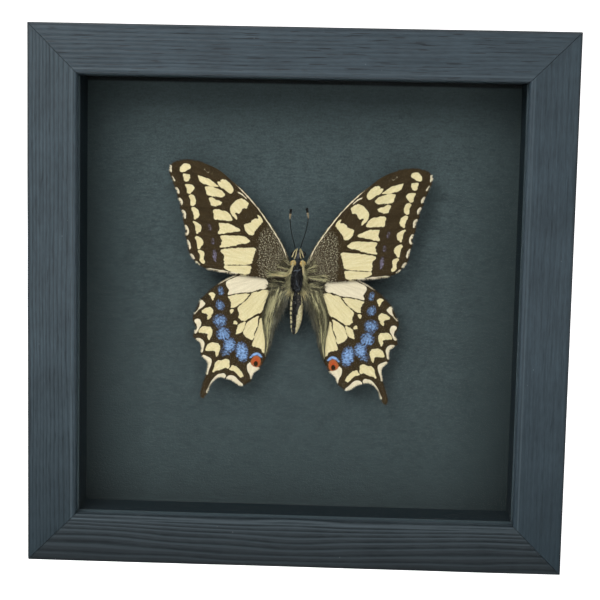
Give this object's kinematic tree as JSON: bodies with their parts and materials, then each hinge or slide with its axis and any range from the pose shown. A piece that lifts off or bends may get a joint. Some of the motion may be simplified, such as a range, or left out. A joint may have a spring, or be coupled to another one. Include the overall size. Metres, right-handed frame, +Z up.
{
  "type": "framed butterfly specimen",
  "caption": "Square glazed box frame of mitred dark stained wood holding a spread swallowtail butterfly mounted on slate grey card.",
  "frame": {"origin": "centre of the underside, where the frame stands on its lower rail", "axes": "+Z up, +X to the right as seen from the front, the glass faces -Y and the hanger is on the +Y side"},
  "size_m": [0.15, 0.028, 0.15],
  "materials": {
    "stained_wood": "near-black stain with a blue-grey satin cast over raised softwood grain",
    "clear_glass": "clear float glass, polished",
    "black_board": "matt black faced foam board",
    "slate_card": "matt fine-grained slate grey mount card",
    "hardboard": "bare pressed hardboard with a fine fibre fleck",
    "zinc_steel": "bright zinc plate",
    "wing": "dry scaled membrane, cream and brown-black with blue and one red spot",
    "body_cuticle": "dry dark cuticle under fine hair and scales",
    "antenna_cuticle": "dark dry cuticle with a tan base to each club",
    "clear_glue": "clear set glue"
  },
  "bodies": {
    "root": {"rail_bottom": "stained_wood", "rail_right": "stained_wood", "rail_top": "stained_wood", "rail_left": "stained_wood", "corner_nail_bottom_left": "zinc_steel", "corner_nail_bottom_right": "zinc_steel", "corner_nail_top_right": "zinc_steel", "corner_nail_top_left": "zinc_steel", "tab_bottom_1": "zinc_steel", "tab_bottom_2": "zinc_steel", "tab_right_1": "zinc_steel", "tab_right_2": "zinc_steel", "tab_top_1": "zinc_steel", "tab_top_2": "zinc_steel", "tab_left_1": "zinc_steel", "tab_left_2": "zinc_steel", "glass_pane": "clear_glass", "spacer_top": "black_board", "spacer_bottom": "black_board", "spacer_left": "black_board", "spacer_right": "black_board", "backing_card": "slate_card", "back_panel": "hardboard", "sawtooth_hanger": "zinc_steel", "hanger_rivet_left": "zinc_steel", "hanger_rivet_right": "zinc_steel", "forewing_left": "wing", "forewing_right": "wing", "hindwing_left": "wing", "hindwing_right": "wing", "head": "body_cuticle", "thorax": "body_cuticle", "abdomen": "body_cuticle", "antenna_left": "antenna_cuticle", "antenna_right": "antenna_cuticle", "glue_bead": "clear_glue"}
  },
  "joints": []
}
